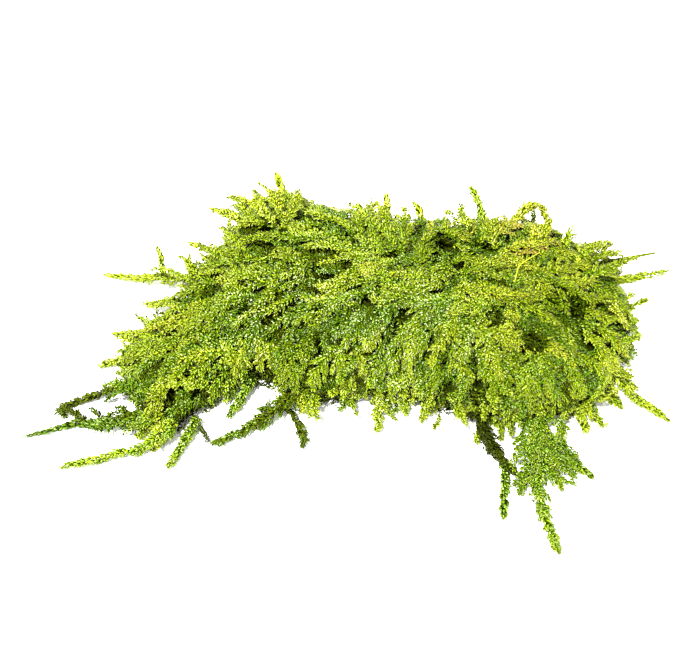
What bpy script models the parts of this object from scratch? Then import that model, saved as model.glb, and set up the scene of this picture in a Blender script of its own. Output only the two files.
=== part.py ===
"""Moss clump: one tangled, oblong mat of leafy aquatic moss, with loose shoots trailing from its edges.

Metres, +Z up. The clump is laid on a flat surface at z = 0, its long side along X and its front towards -Y.
The mat and each loose shoot are solids that reach the tips of their leaves. Loose shoots lie on the surface
where they are long, and stand free where they are short. Lengths below are in millimetres.
"""

import math
import random

import bmesh
import bpy
from mathutils import Vector
from mathutils.bvhtree import BVHTree

MM = 0.001
GAP = 0.3  # clear space between two pieces
MIDDLE = (-4.8, -9.32)  # the x and y, in the lists below, that become the middle of the whole clump

# The mat, from its left end to its right end: x, front edge, back edge, height
MAT_STATIONS = [
    (-46.8, -12.0, -5.0, 4.0),
    (-44.8, -20.0, -1.5, 5.5),
    (-41.5, -24.5, 1.0, 6.5),
    (-38.0, -25.5, 6.5, 7.5),
    (-34.5, -22.0, 12.0, 9.0),
    (-31.0, -18.0, 18.0, 10.5),
    (-27.5, -15.0, 24.0, 12.0),
    (-24.0, -13.5, 28.5, 13.5),
    (-20.0, -15.0, 30.5, 14.5),
    (-16.0, -18.5, 28.5, 15.0),
    (-12.0, -19.5, 25.5, 15.5),
    (-7.5, -17.5, 23.5, 15.5),
    (-3.0, -17.5, 22.5, 16.0),
    (2.0, -17.5, 22.0, 16.0),
    (7.0, -18.5, 20.5, 16.0),
    (12.0, -21.0, 20.5, 16.5),
    (17.0, -21.5, 20.0, 17.0),
    (22.0, -22.5, 20.5, 17.0),
    (27.0, -22.8, 21.0, 16.5),
    (32.0, -22.0, 18.5, 15.5),
    (36.0, -20.0, 16.5, 14.0),
    (40.0, -15.5, 14.0, 12.0),
    (43.0, -12.5, 11.0, 10.0),
    (45.3, -8.0, 5.0, 7.0),
]
MAT_STEP = 3.0  # spacing of the cross-sections
MAT_ROUNDNESS = 2.5  # 2 is an ellipse, more is squarer
MAT_RIM = 1.6  # height of the widest line of the mat above the surface
MAT_UNDERCUT = 1.5  # how far the flat underside stands back from that line
TOP_POINTS = 19
UNDERSIDE_POINTS = 7
LUMPS = {"count": 70, "height": 1.1, "reach": (3.5, 7.0), "seed": 11}
# Hollows between the shoots: x, y, reach, depth
HOLLOWS = [
    (16.0, 11.0, 4.0, 3.0),
    (20.5, 8.0, 3.5, 3.0),
    (31.5, -8.5, 4.0, 2.5),
    (37.5, -2.5, 3.5, 3.5),
    (-24.0, -1.5, 3.0, 1.5),
    (-10.0, -1.0, 3.0, 1.5),
]

# Loose shoots, each from inside the mat or its parent shoot out to its tip: x, y, z, radius over the leaves
SHOOTS = {
    "left_upper_shoot": [
        (-32.0, 9.0, 5.0, 2.0), (-39.0, 10.0, 4.0, 2.0), (-43.5, 11.5, 2.9, 1.7),
        (-47.0, 12.2, 1.8, 1.2), (-51.0, 13.0, 1.3, 1.0), (-54.3, 13.6, 1.0, 0.9),
    ],
    "left_upper_twig": [(-43.0, 11.5, 3.0, 0.8), (-43.2, 14.0, 5.4, 0.8), (-43.6, 15.2, 6.6, 0.7)],
    "left_back_spike": [(-36.0, 3.0, 4.0, 1.4), (-40.5, 4.2, 3.4, 1.3), (-45.5, 5.0, 2.4, 0.8)],
    "left_middle_spike": [(-42.0, -3.0, 3.5, 1.5), (-47.0, -2.4, 2.2, 1.2), (-50.8, -1.6, 1.2, 0.8)],
    "left_front_spike": [(-41.0, -6.0, 3.0, 1.8), (-48.0, -7.8, 2.0, 1.6), (-50.5, -8.5, 1.4, 1.2), (-52.6, -9.0, 1.0, 0.8)],
    "left_long_shoot": [
        (-38.0, -20.5, 3.0, 2.4), (-43.5, -21.8, 2.5, 2.3), (-47.0, -22.6, 2.2, 2.0), (-49.8, -23.4, 2.1, 2.0),
        (-52.3, -22.9, 1.6, 1.4), (-54.8, -22.1, 1.1, 1.0), (-57.8, -22.9, 0.9, 0.8), (-61.0, -24.0, 0.9, 0.8),
        (-64.0, -25.0, 0.9, 0.8),
    ],
    "left_bent_shoot": [
        (-40.0, -10.0, 3.5, 2.0), (-45.5, -12.8, 2.2, 1.7), (-49.5, -14.8, 1.5, 1.2),
        (-54.5, -16.7, 1.1, 1.0), (-58.2, -18.2, 1.0, 0.8), (-59.6, -19.1, 0.9, 0.7), (-59.3, -20.2, 0.9, 0.7),
        (-57.6, -20.8, 0.9, 0.7), (-56.0, -21.1, 0.9, 0.6),
    ],
    "left_front_shoot": [
        (-36.0, -22.5, 3.2, 3.0), (-40.0, -26.0, 2.4, 2.3), (-43.5, -28.2, 1.7, 1.6), (-47.3, -28.8, 1.2, 1.1),
        (-51.0, -30.2, 1.1, 1.0), (-53.8, -30.9, 1.3, 1.2), (-56.9, -31.7, 0.9, 0.8),
    ],
    "front_left_shoot": [
        (-33.0, -19.0, 3.0, 1.8), (-34.3, -23.0, 1.9, 1.7), (-36.0, -26.8, 1.3, 1.2), (-37.3, -29.7, 1.3, 1.2),
        (-38.1, -31.4, 1.2, 1.1),
    ],
    "front_left_spike": [(-25.0, -13.5, 3.0, 1.6), (-26.0, -16.5, 2.0, 1.5), (-28.2, -20.4, 1.1, 0.9)],
    "front_left_stem": [
        (-17.0, -15.0, 3.2, 2.8), (-18.5, -19.2, 2.9, 2.7), (-20.8, -21.3, 2.6, 2.4), (-23.8, -23.0, 1.9, 1.8),
        (-27.0, -25.0, 1.4, 1.3), (-30.6, -26.6, 1.1, 1.0),
    ],
    "front_left_stem_tip": [(-30.3, -26.6, 0.9, 0.7), (-32.2, -25.0, 0.9, 0.6), (-33.4, -22.6, 0.8, 0.6)],
    "front_twig": [(-19.0, -20.0, 1.5, 0.8), (-16.2, -21.6, 1.1, 0.8), (-15.2, -24.0, 1.4, 1.3), (-14.8, -26.4, 1.5, 1.4)],
    "front_middle_tuft": [(-1.0, -15.0, 3.0, 2.0), (-1.3, -20.0, 2.0, 1.7), (-1.7, -23.5, 1.5, 1.4)],
    "front_right_long_shoot": [
        (27.5, -16.0, 5.0, 5.0), (27.3, -24.5, 4.2, 4.0), (27.5, -28.5, 3.7, 3.5), (26.9, -32.5, 3.2, 3.0),
        (25.8, -36.3, 2.6, 2.5), (26.1, -40.3, 1.8, 1.7), (27.2, -44.6, 1.4, 1.3), (28.2, -48.6, 1.4, 1.3),
    ],
    "front_right_stem": [
        (14.5, -17.5, 3.5, 2.6), (16.2, -22.0, 2.8, 2.4), (17.8, -26.0, 2.1, 1.9), (19.4, -29.3, 1.7, 1.6),
        (21.3, -32.2, 1.4, 1.3), (23.5, -34.2, 1.3, 1.0),
    ],
    "front_right_twig": [(20.4, -31.0, 1.4, 1.1), (20.2, -35.5, 1.2, 1.0), (19.9, -38.5, 1.1, 1.0), (19.6, -41.6, 1.1, 1.0)],
    "front_right_side_shoot": [(28.5, -28.8, 2.4, 1.4), (31.8, -30.6, 1.8, 1.5), (33.8, -32.0, 1.3, 1.1), (35.3, -33.4, 0.9, 0.8)],
    "right_low_shoot": [
        (38.0, -8.5, 4.0, 2.0), (42.2, -13.0, 3.0, 1.9), (44.2, -16.2, 2.0, 1.5), (47.8, -18.9, 1.3, 1.1),
        (50.4, -21.4, 1.1, 1.0),
    ],
    "right_front_twig": [(37.5, -14.0, 3.0, 1.0), (40.4, -16.6, 1.8, 0.9), (42.4, -18.4, 1.0, 0.8)],
    "right_front_tuft": [(34.0, -18.0, 3.0, 1.8), (34.9, -21.5, 2.0, 1.6), (35.4, -23.9, 1.6, 1.4)],
    "right_middle_shoot": [(40.0, -3.5, 6.0, 1.3), (45.5, 0.6, 5.8, 1.0), (49.2, 3.2, 5.6, 0.8)],
    "right_upper_shoot": [(39.0, 5.0, 7.0, 1.6), (45.5, 7.5, 6.5, 1.4), (50.5, 9.0, 6.0, 1.0), (54.4, 10.5, 5.6, 0.8)],
    "right_back_stem": [(40.0, 10.0, 8.0, 0.6), (46.0, 11.5, 8.0, 0.5), (54.0, 13.6, 7.8, 0.4)],
    "right_back_tuft": [(37.0, 12.0, 8.0, 1.6), (40.5, 14.4, 8.4, 1.4), (43.5, 15.0, 8.4, 1.0)],
    "back_right_arch": [
        (24.0, 15.0, 11.0, 1.6), (26.3, 19.0, 12.5, 1.5), (28.4, 20.5, 13.2, 1.3), (30.3, 20.3, 12.8, 1.1),
        (31.2, 19.0, 11.6, 1.0), (31.4, 17.8, 10.8, 0.9),
    ],
    "back_right_spire": [(19.5, 15.5, 10.5, 1.5), (18.8, 19.0, 12.5, 1.2), (17.9, 20.8, 14.2, 1.1), (16.8, 22.5, 15.6, 1.0)],
    "back_middle_tuft": [(0.6, 18.5, 9.5, 1.3), (0.6, 21.5, 11.5, 1.1), (0.6, 23.0, 13.0, 1.0)],
    "back_middle_curl": [(7.0, 17.5, 10.0, 1.2), (7.1, 20.2, 11.5, 1.0), (6.0, 21.5, 12.6, 0.9)],
    "back_left_spike": [(-19.0, 23.5, 10.0, 1.5), (-20.0, 28.0, 11.0, 1.2), (-20.9, 30.0, 12.2, 1.0)],
    "back_left_upper_twig": [(-23.0, 24.0, 8.0, 1.3), (-27.6, 26.8, 8.6, 1.1), (-30.4, 27.3, 8.8, 0.9)],
    "back_left_middle_twig": [(-26.0, 21.5, 7.5, 1.3), (-30.6, 23.4, 8.0, 1.1), (-33.7, 24.6, 8.2, 0.9)],
    "back_left_low_twig": [(-30.0, 13.0, 6.5, 1.2), (-34.2, 15.0, 6.8, 1.0), (-37.5, 16.4, 7.0, 0.8)],
}
SHOOT_STEP = 1.1  # spacing of the rings along a shoot
SHOOT_RIPPLE = 0.05  # how much the tufts of leaves swell and narrow it, as a share of its radius

COLOURS = {"mat": (0.23, 0.33, 0.03), "leafy": (0.27, 0.40, 0.04), "old": (0.11, 0.16, 0.02)}
OLD_SHOOTS = {
    "left_bent_shoot", "front_left_stem", "front_left_stem_tip", "front_twig", "front_right_stem",
    "right_back_stem",
}


def clear_scene():
    for obj in list(bpy.data.objects):
        bpy.data.objects.remove(obj, do_unlink=True)


def new_collection(name):
    collection = bpy.data.collections.new(name)
    bpy.context.scene.collection.children.link(collection)
    return collection


def add_piece(name, mesh, material, collection, root):
    """An object from a finished mesh, shaded smooth and parented to the clump's empty."""
    mesh.name = name
    mesh.materials.clear()
    mesh.materials.append(material)
    mesh.shade_smooth()
    piece = bpy.data.objects.new(name, mesh)
    piece.parent = root
    collection.objects.link(piece)
    return piece


def new_material(name, colour, roughness):
    material = bpy.data.materials.new(name)
    material.use_nodes = True
    shader = material.node_tree.nodes["Principled BSDF"]
    shader.inputs["Base Color"].default_value = (*colour, 1.0)
    shader.inputs["Roughness"].default_value = roughness
    material.diffuse_color = (*colour, 1.0)
    return material


def between(rows, at):
    """The row of numbers at a given first number, eased smoothly between the two nearest rows."""
    for low, high in zip(rows, rows[1:]):
        if at <= high[0]:
            share = (at - low[0]) / (high[0] - low[0])
            return [a + (b - a) * share for a, b in zip(low[1:], high[1:])]
    return list(rows[-1][1:])


def surface_lumps():
    """Rounded swellings and dips scattered over the mat, then the named hollows: x, y, reach, height."""
    pick = random.Random(LUMPS["seed"])
    scattered = [
        (pick.uniform(-46, 46), pick.uniform(-24, 28), pick.uniform(*LUMPS["reach"]),
         LUMPS["height"] * pick.uniform(-1, 1))
        for _ in range(LUMPS["count"])
    ]
    return scattered + [(x, y, reach, -depth) for x, y, reach, depth in HOLLOWS]


def lift(lumps, x, y):
    return sum(h * math.exp(-((x - cx) ** 2 + (y - cy) ** 2) / reach**2) for cx, cy, reach, h in lumps)


def mat_section(x, lumps):
    """One cross-section: over the top from front to back, then along the underside from back to front."""
    front, back, height = between(MAT_STATIONS, x)
    middle, half = (front + back) / 2, (back - front) / 2
    section = []
    for i in range(TOP_POINTS):
        angle = math.pi * i / (TOP_POINTS - 1)
        out = -math.copysign(abs(math.cos(angle)) ** (2 / MAT_ROUNDNESS), math.cos(angle))
        up = math.sin(angle) ** (2 / MAT_ROUNDNESS) if 0 < i < TOP_POINTS - 1 else 0.0
        y = middle + half * out
        z = MAT_RIM + (height - MAT_RIM) * up + lift(lumps, x, y) * up
        section.append((x, y, max(z, MAT_RIM)))
    inner = half - MAT_UNDERCUT
    for i in range(UNDERSIDE_POINTS):
        section.append((x, middle + inner * (1 - 2 * i / (UNDERSIDE_POINTS - 1)), 0.0))
    return section


def place(point):
    return Vector(((point[0] - MIDDLE[0]) * MM, (point[1] - MIDDLE[1]) * MM, point[2] * MM))


def mat_mesh():
    """The mat: cross-sections joined from left to right, closed at each end onto a blunt point."""
    lumps = surface_lumps()
    left, right = MAT_STATIONS[0][0], MAT_STATIONS[-1][0]
    count = round((right - left) / MAT_STEP)
    sections = [mat_section(left + (right - left) * i / count, lumps) for i in range(count + 1)]
    shape = bmesh.new()
    rings = [[shape.verts.new(place(p)) for p in section] for section in sections]
    size = len(rings[0])
    for first, second in zip(rings, rings[1:]):
        for i in range(size):
            j = (i + 1) % size
            shape.faces.new((first[i], first[j], second[j], second[i]))
    for ring, section, out in ((rings[0], sections[0], -1.5), (rings[-1], sections[-1], 1.5)):
        middle = [sum(p[k] for p in section) / size for k in range(3)]
        end = shape.verts.new(place((middle[0] + out, middle[1], middle[2])))
        for i in range(size):
            shape.faces.new((ring[i], end, ring[(i + 1) % size]))
    bmesh.ops.recalc_face_normals(shape, faces=shape.faces)
    mesh = bpy.data.meshes.new("moss_mat")
    shape.to_mesh(mesh)
    shape.free()
    return mesh


def smooth_path(points):
    """The listed points joined by a Catmull-Rom curve, sampled every SHOOT_STEP."""
    ends = [points[0]] + list(points) + [points[-1]]
    path = []
    for a, b, c, d in zip(ends, ends[1:], ends[2:], ends[3:]):
        steps = max(1, round((Vector(c[:3]) - Vector(b[:3])).length / SHOOT_STEP))
        for i in range(steps):
            t = i / steps
            path.append([
                0.5 * (2 * q + (r - p) * t + (2 * p - 5 * q + 4 * r - s) * t**2 + (3 * q - p - 3 * r + s) * t**3)
                for p, q, r, s in zip(a, b, c, d)
            ])
    return path + [list(points[-1])]


def clearance(point, tree):
    """Distance in millimetres from a point to a closed piece, or a negative number inside it."""
    where, up = place(point), Vector((0, 0, 1))
    distance = tree.find_nearest(where)[3] / MM
    crossings, start = 0, where
    while (hit := tree.ray_cast(start, up)[0]) is not None:
        crossings, start = crossings + 1, hit + up * 1e-7
    return -distance if crossings % 2 else distance


def free_length(path, trees):
    """The longest run of a path that touches no piece already built."""
    runs = [[]]
    for point in path:
        if any(clearance(point, tree) < point[3] + GAP for tree in trees):
            runs.append([])
        else:
            runs[-1].append(point)
    return max(runs, key=len)


def shoot_mesh(name, points, trees, collection):
    """A round bevelled curve along the free part of a shoot's path, made a mesh with its caps welded."""
    path = smooth_path(points)
    for i, point in enumerate(path):
        point[3] *= 1 + SHOOT_RIPPLE * (1 if i % 2 else -1)
    path = free_length(path, trees)
    for point in path:
        point[2] = max(point[2], point[3] * 1.02 + 0.02)  # nothing dips into the surface it lies on
    tip = path[-1]
    ahead = (Vector(tip[:3]) - Vector(path[-2][:3])).normalized() * 0.75
    path.append([tip[0] + ahead.x, tip[1] + ahead.y, max(tip[2] + ahead.z, 0.35), 0.3])
    curve = bpy.data.curves.new(name, "CURVE")
    curve.dimensions = "3D"
    curve.bevel_depth = MM
    curve.bevel_resolution = 2
    curve.use_fill_caps = True
    spline = curve.splines.new("POLY")
    spline.points.add(len(path) - 1)
    for point, entry in zip(spline.points, path):
        point.co = (*place(entry), 1.0)
        point.radius = entry[3]
    guide = bpy.data.objects.new(name + "_path", curve)
    collection.objects.link(guide)
    bpy.context.view_layer.update()
    mesh = bpy.data.meshes.new_from_object(guide.evaluated_get(bpy.context.evaluated_depsgraph_get()))
    bpy.data.objects.remove(guide, do_unlink=True)
    shape = bmesh.new()
    shape.from_mesh(mesh)
    bmesh.ops.remove_doubles(shape, verts=shape.verts, dist=1e-7)
    bmesh.ops.recalc_face_normals(shape, faces=shape.faces)
    shape.to_mesh(mesh)
    shape.free()
    return mesh


def surface_tree(obj):
    shape = bmesh.new()
    shape.from_mesh(obj.data)
    bmesh.ops.triangulate(shape, faces=shape.faces)
    tree = BVHTree.FromBMesh(shape)
    shape.free()
    return tree


def main():
    clear_scene()
    collection = new_collection("moss_clump")
    root = bpy.data.objects.new("moss_clump", None)
    collection.objects.link(root)
    mat = add_piece("moss_mat", mat_mesh(), new_material("moss_mat", COLOURS["mat"], 0.5), collection, root)
    trees = [surface_tree(mat)]
    for name, points in SHOOTS.items():
        material = new_material(name, COLOURS["old" if name in OLD_SHOOTS else "leafy"], 0.45)
        shoot = add_piece(name, shoot_mesh(name, points, trees, collection), material, collection, root)
        trees.append(surface_tree(shoot))


main()
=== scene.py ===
import math

import bpy
import numpy as np
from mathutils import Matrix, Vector
from mathutils.bvhtree import BVHTree


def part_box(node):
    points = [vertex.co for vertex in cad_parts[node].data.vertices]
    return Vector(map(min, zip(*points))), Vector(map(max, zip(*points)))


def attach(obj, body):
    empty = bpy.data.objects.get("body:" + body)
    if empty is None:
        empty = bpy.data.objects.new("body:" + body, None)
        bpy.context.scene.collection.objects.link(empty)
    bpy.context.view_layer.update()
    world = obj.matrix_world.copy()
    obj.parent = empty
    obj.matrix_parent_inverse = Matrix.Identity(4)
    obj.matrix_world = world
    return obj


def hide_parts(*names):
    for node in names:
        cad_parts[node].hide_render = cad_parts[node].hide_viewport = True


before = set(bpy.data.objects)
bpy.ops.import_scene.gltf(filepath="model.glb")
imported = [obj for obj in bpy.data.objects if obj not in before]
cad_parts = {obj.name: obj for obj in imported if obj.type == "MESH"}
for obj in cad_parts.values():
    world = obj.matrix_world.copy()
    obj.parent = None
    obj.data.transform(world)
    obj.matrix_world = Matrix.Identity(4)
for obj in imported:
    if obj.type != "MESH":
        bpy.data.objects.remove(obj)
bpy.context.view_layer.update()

mm = 0.001
up = np.array([0.0, 0.0, 1.0])


def unit(v):
    # every vector divided by its own length
    return v / np.maximum(np.linalg.norm(v, axis=-1, keepdims=True), 1e-12)


def mix(a, b, t):
    # a straight blend, a at 0 and b at 1
    return a + (b - a) * t


def inScene(name, data):
    # a new object of the data, linked to the scene
    made = bpy.data.objects.new(name, data)
    bpy.context.scene.collection.objects.link(made)
    return made


def neighbours(grid, **padding):
    # the padded grid moved by one square in each of the four directions
    edge = np.pad(grid, 1, **padding)
    return edge[:-2, 1:-1], edge[2:, 1:-1], edge[1:-1, :-2], edge[1:-1, 2:]


resting = {"below": 0.15 * mm, "least": 0.02 * mm, "range": 0.13 * mm, "softness": 0.6 * mm}


def meshPiece(name, parts, node, material):
    # parts are (points, triangles, uv per corner), stacked into one mesh. What would sink into the surface is
    # pressed flat just above it: its height falls off exponentially towards the least one
    points, faces, uvs, first = [], [], [], 0
    for p, f, uv in parts:
        points.append(p.reshape(-1, 3))
        faces.append(f.reshape(-1, 3) + first)
        uvs.append(uv.reshape(-1, 2))
        first += len(points[-1])
    points, faces, uvs = np.concatenate(points), np.concatenate(faces), np.concatenate(uvs)
    z, low = points[:, 2], resting["below"]
    pressed = resting["least"] + resting["range"] * np.exp((np.minimum(z, low) - low) / resting["softness"])
    points[:, 2] = np.where(z < low, pressed, z)
    mesh = bpy.data.meshes.new(name)
    mesh.vertices.add(len(points))
    mesh.vertices.foreach_set("co", points.astype(np.float32).ravel())
    mesh.loops.add(faces.size)
    mesh.loops.foreach_set("vertex_index", faces.astype(np.int32).ravel())
    mesh.polygons.add(len(faces))
    mesh.polygons.foreach_set("loop_start", np.arange(0, faces.size, 3, dtype=np.int32))
    layer = mesh.uv_layers.new(name="OFBake")
    layer.data.foreach_set("uv", np.clip(uvs, 0.002, 0.998).astype(np.float32).ravel())
    mesh.update(calc_edges=True)
    mesh.materials.append(material)
    piece = inScene(name, mesh)
    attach(piece, "root")
    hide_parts(node)
    print(name, len(faces), "triangles")


# What the frame says: the mat as a height over the surface, and each loose shoot's middle line

ground = {"step": 0.75 * mm, "margin": 9 * mm, "floor": 0.7 * mm, "steepest": 2.5, "steepestNormal": 2.2}


def nodeMesh(name):
    # the node's points, and the three corners of each of its triangles
    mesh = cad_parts[name].data
    points, corners = np.zeros(len(mesh.vertices) * 3), np.zeros(len(mesh.loops), int)
    mesh.vertices.foreach_get("co", points)
    mesh.loops.foreach_get("vertex_index", corners)
    return points.reshape(-1, 3), corners.reshape(-1, 3)


def readMat():
    # the height of the mat's top at every point of a square grid, found by looking straight down, then blurred
    # with its four neighbours so that the sides have a slope that can be followed
    low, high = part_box("moss_mat")
    xs = np.arange(low.x - ground["margin"], high.x + ground["margin"], ground["step"])
    ys = np.arange(low.y - ground["margin"], high.y + ground["margin"], ground["step"])
    tree = BVHTree.FromPolygons(*(v.tolist() for v in nodeMesh("moss_mat")))
    down, sky = Vector((0, 0, -1)), high.z + 0.01
    found = [[tree.ray_cast(Vector((x, y, sky)), down)[0] for y in ys] for x in xs]
    inside = np.array([[hit is not None for hit in row] for row in found])
    height = np.array([[hit.z if hit is not None else ground["floor"] for hit in row] for row in found])
    soft = height.copy()
    for _ in range(2):
        soft = (sum(neighbours(soft, mode="edge")) + 2 * soft) / 6
    gx, gy = np.gradient(soft, ground["step"])
    x, y = np.meshgrid(xs, ys, indexing="ij")
    return {"x": x, "y": y, "height": soft, "gx": gx, "gy": gy, "inside": inside.astype(float)}


mat = readMat()
matMiddle = sum(np.array(c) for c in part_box("moss_mat")) / 2
print("frame read")


def sample(field, x, y):
    # bilinear reading of a grid at whole arrays of x and y
    grid = mat[field]
    i = np.clip((x - mat["x"][0, 0]) / ground["step"], 0, grid.shape[0] - 1.001)
    j = np.clip((y - mat["y"][0, 0]) / ground["step"], 0, grid.shape[1] - 1.001)
    a, b = i.astype(int), j.astype(int)
    s, t = i - a, j - b
    return ((grid[a, b] * (1 - s) + grid[a + 1, b] * s) * (1 - t)
            + (grid[a, b + 1] * (1 - s) + grid[a + 1, b + 1] * s) * t)


def matNormal(x, y):
    # minus the slope along x and y, and one upwards
    most = ground["steepestNormal"]
    gx, gy = np.clip(sample("gx", x, y), -most, most), np.clip(sample("gy", x, y), -most, most)
    return unit(np.stack([-gx, -gy, np.ones_like(gx)], -1))


tube = {"weld": 2e-3 * mm, "capEdge": 0.35 * mm, "mostRings": 400}


def smallEnd(points, edges):
    # edges shorter than capEdge only occur round the small cap at a shoot's tip
    length = np.linalg.norm(points[edges[:, 0]] - points[edges[:, 1]], axis=1)
    short = edges[length < tube["capEdge"]].ravel()
    return np.unique(short) if len(short) else np.array([np.argmax(np.linalg.norm(points - matMiddle, axis=1))])


def middleLine(name):
    # rings of the node's tube, counted edge by edge from its tip; each ring's mean is a point of the line
    points, tris = nodeMesh(name)
    places = np.round(points / tube["weld"]).astype(np.int64)
    _, first, welded = np.unique(places, axis=0, return_index=True, return_inverse=True)
    points, tris = points[first], welded.reshape(-1)[tris]
    edges = np.unique(np.sort(np.concatenate([tris[:, [0, 1]], tris[:, [1, 2]], tris[:, [2, 0]]]), axis=1), axis=0)
    reach = np.full(len(points), -1)
    reach[smallEnd(points, edges)] = 0
    level = 0
    while (reach < 0).any() and level < tube["mostRings"]:
        touched = np.concatenate([edges[reach[edges[:, 0]] == level, 1], edges[reach[edges[:, 1]] == level, 0]])
        touched = touched[reach[touched] < 0]
        if not len(touched):
            break
        level += 1
        reach[touched] = level
    line = np.array([points[reach == k].mean(0) for k in range(level + 1)])
    thick = np.array([np.linalg.norm(points[reach == k] - line[k], axis=1).mean() for k in range(level + 1)])
    return line[::-1], thick[::-1]  # from the base to the tip


def evenLine(line, thick, step):
    # the same line with points at even distances, and its thickness at each
    along = np.concatenate([[0], np.cumsum(np.linalg.norm(np.diff(line, axis=0), axis=1))])
    count = max(4, int(round(along[-1] / step)) + 1)
    at = np.linspace(0, along[-1], count)
    return np.stack([np.interp(at, along, line[:, k]) for k in range(3)], -1), np.interp(at, along, thick)


# Leaves and stems

leafKinds = {  # angles in degrees; breadth is a share of the length; ropeLeaf's length is a share of the girth
    "stemLeaf": {"every": 0.150 * mm, "length": 0.84 * mm, "breadth": 0.50, "lean": (58, 28), "tumble": 0.35,
                 "ranks": (0, 180, 45, 135, 8, 172, 90), "rankSpread": 0.3, "stem": 0.12 * mm,
                 "tipTint": 0.12, "tintSpread": 0.035},
    "branchLeaf": {"every": 0.135 * mm, "length": 0.70 * mm, "breadth": 0.52, "lean": (48, 22), "tumble": 0.35,
                   "ranks": (0, 180, 50, 130, 5, 175), "rankSpread": 0.3, "stem": 0.08 * mm,
                   "tipTint": 0.10, "tintSpread": 0.035},
    "ropeLeaf": {"every": 0.075 * mm, "length": 1.25, "breadth": 0.48, "lean": (50, 28), "tumble": 0.35,
                 "ranks": (0, 180, 60, 120, 240, 300, 20, 160, 90, 270), "rankSpread": 0.4, "stem": 0.25 * mm,
                 "tipTint": 0.05, "tintSpread": 0.04},
}
leafShape = {"size": (0.75, 1.2), "tipShrink": 0.55, "leanSpread": 0.14, "midribRise": 0.09, "tipBend": 0.12,
             "tipDroop": (-0.05, 0.25)}
paintedShadeSpan = {"start": 0.09, "range": 0.21, "frostRange": 0.21, "frostStart": -0.06, "half": 0.27, "whole": 0.56,
            "oldBelow": 0.32, "oldShare": 0.3}  # where a leaf's painted shade starts and ends; old leaves have no painted highlight at their tips


def frameAlong(paths, faces):
    # forward is the path's own direction, face is what is left of faces across it, side is square to both
    forward = unit(np.gradient(paths, axis=1))
    face = unit(faces - forward * (faces * forward).sum(-1, keepdims=True))
    return forward, np.cross(face, forward), face


def leafBodies(paths, faces, leaf, tint, rng, keep=None, girth=None):
    # a leaf every leaf["every"] along each path, on the ranks in turn: it leans from forward towards its rank,
    # less and less towards the tip. A leaf is a closed four-cornered body: base, tip, and two edges below a midrib
    count = np.maximum(4, np.round(np.linalg.norm(np.diff(paths, axis=1), axis=2).sum(1) / leaf["every"])).astype(int)
    shoot = np.repeat(np.arange(len(paths)), count)
    order = np.arange(len(shoot)) - np.repeat(np.cumsum(count) - count, count)
    t = (order + 0.6) / count[shoot]
    steps = paths.shape[1] - 1
    at = np.clip(t * steps, 0, steps - 1e-6)
    i = at.astype(int)
    s = (at - i)[:, None]
    forward, side, face = frameAlong(paths, faces)
    base = mix(paths[shoot, i], paths[shoot, i + 1], s)
    f, d, n = (unit(mix(v[shoot, i], v[shoot, i + 1], s)) for v in (forward, side, face))
    ranks = np.radians(np.array(leaf["ranks"]))
    angle = ranks[order % len(ranks)] + rng.normal(0, leaf["rankSpread"], len(t))
    radial = np.cos(angle)[:, None] * d + np.sin(angle)[:, None] * n
    lean = np.radians(mix(leaf["lean"][0], leaf["lean"][1], t**1.5)) + rng.normal(0, leafShape["leanSpread"], len(t))
    out = np.cos(lean)[:, None] * f + np.sin(lean)[:, None] * radial
    facing = unit(n + radial * 0.25 + rng.normal(0, leaf["tumble"], out.shape))
    wide = unit(np.cross(facing, out))
    rise = np.cross(out, wide)
    shrink = 1 - leafShape["tipShrink"] * np.clip((t - 0.7) / 0.3, 0, 1) ** 2  # over the shoot's last third
    size = leaf["length"] * shrink * rng.uniform(*leafShape["size"], len(t))
    if girth is not None:
        size = size * mix(girth[shoot, i], girth[shoot, i + 1], s[:, 0])
    size = size[:, None]
    half = size * leaf["breadth"] / 2
    a = base + radial * leaf["stem"] * 0.5
    middle = a + out * size * 0.5 - rise * size * leafShape["midribRise"]
    droop = rng.uniform(*leafShape["tipDroop"], (len(t), 1))
    tip = a + out * size + f * size * leafShape["tipBend"] - rise * size * droop
    points = np.stack([a, middle + wide * half, middle - wide * half, tip], 1)
    corners = np.arange(len(t))[:, None, None] * 4 + np.array([[0, 3, 1], [0, 2, 3], [0, 1, 2], [1, 3, 2]])
    u = np.clip(tint[shoot] + leaf["tipTint"] * (t - 0.5) + rng.normal(0, leaf["tintSpread"], len(t)), 0.01, 0.99)
    # in the patches with painted glints a leaf's painted shade starts darker and runs further, into the whitish
    # painted glint of wet leaves
    frost = patchShare("frosted", base[:, 0], base[:, 1])
    spread = paintedShadeSpan["range"] + paintedShadeSpan["frostRange"] * frost
    v = paintedShadeSpan["start"] + spread * rng.uniform(0, 1, len(t)) ** 1.3 + paintedShadeSpan["frostStart"] * frost
    # old leaves keep to the dark end of the ramp: painted shade, with no painted highlight
    v = np.where(u < paintedShadeSpan["oldBelow"], paintedShadeSpan["oldShare"] * v, v)
    su = np.stack([u, u + 0.004, u - 0.004, u], 1)  # a sliver wide, so that the leaf has an area in the UV map
    sv = np.stack([v, v + paintedShadeSpan["half"], v + paintedShadeSpan["half"], v + paintedShadeSpan["whole"]], 1)
    uv = np.stack([su, sv], -1)[:, [0, 3, 1, 0, 2, 3, 0, 1, 2, 1, 3, 2]]
    if keep is not None:
        chosen = keep(points.mean(1), rng)
        points, uv = points[chosen], uv[chosen]
        corners = corners[:len(points)]
    return points, corners, uv


stem = {"tipShare": 0.45, "gapThinning": 0.93, "shading": 0.3, "sideRadius": 0.07 * mm, "sideTone": 0.8}


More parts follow.
